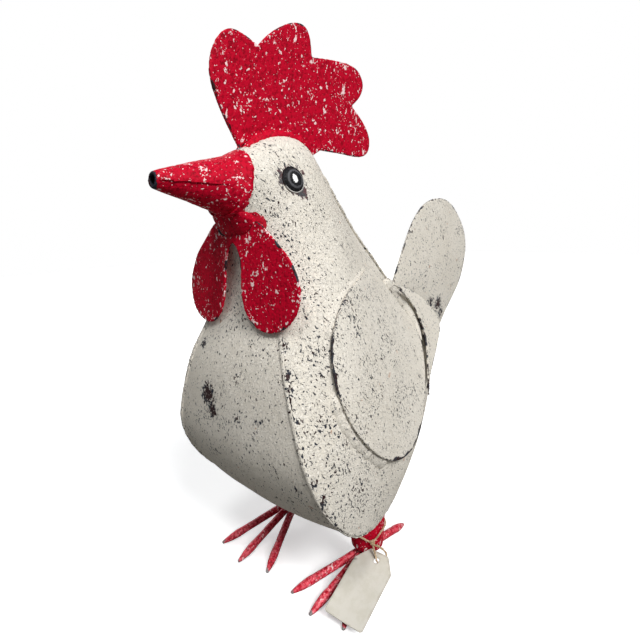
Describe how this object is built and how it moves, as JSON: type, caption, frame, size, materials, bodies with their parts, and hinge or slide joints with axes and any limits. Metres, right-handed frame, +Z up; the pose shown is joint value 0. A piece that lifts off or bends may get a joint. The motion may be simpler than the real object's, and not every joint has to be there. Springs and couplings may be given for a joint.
{
  "type": "sheet metal cockerel figure",
  "caption": "Standing hollow sheet-metal cockerel with plate comb, wattles, wings and tail, cone beak, tube legs with rod toes, and a swing tag on twine.",
  "frame": {"origin": "on the ground, midway between the two legs' centre lines", "axes": "+X forward, towards the beak; +Y to the bird's left; +Z up"},
  "size_m": [0.3692, 0.1471, 0.3838],
  "materials": {
    "cream_paint": "distressed matt",
    "red_paint": "distressed satin",
    "eye_enamel": "gloss",
    "twine": "matt",
    "card": "matt"
  },
  "bodies": {
    "cockerel": {"body_left_side": "cream_paint", "body_right_side": "cream_paint", "breast_panel": "cream_paint", "comb": "red_paint", "beak": "red_paint", "wattles": "red_paint", "eye_left": "eye_enamel", "eye_right": "eye_enamel", "wing_left": "cream_paint", "wing_right": "cream_paint", "tail_feather": "cream_paint", "tail_covert_left_outer": "cream_paint", "tail_covert_left_inner": "cream_paint", "tail_covert_right_outer": "cream_paint", "tail_covert_right_inner": "cream_paint", "leg_left": "red_paint", "leg_right": "red_paint", "toe_left_inner": "red_paint", "toe_left_middle": "red_paint", "toe_left_outer": "red_paint", "toe_left_back": "red_paint", "toe_right_inner": "red_paint", "toe_right_middle": "red_paint", "toe_right_outer": "red_paint", "toe_right_back": "red_paint", "twine_loop": "twine"},
    "tag": {"twine_strands": "twine", "swing_tag": "card"}
  },
  "joints": [
    {"name": "tag_swing", "type": "hinge", "parent": "cockerel", "child": "tag", "pos_m": [0.00892, 0.05302, 0.03409], "axis": [0.0602, -0.9982, 0], "range_deg": [0, 62]}
  ]
}
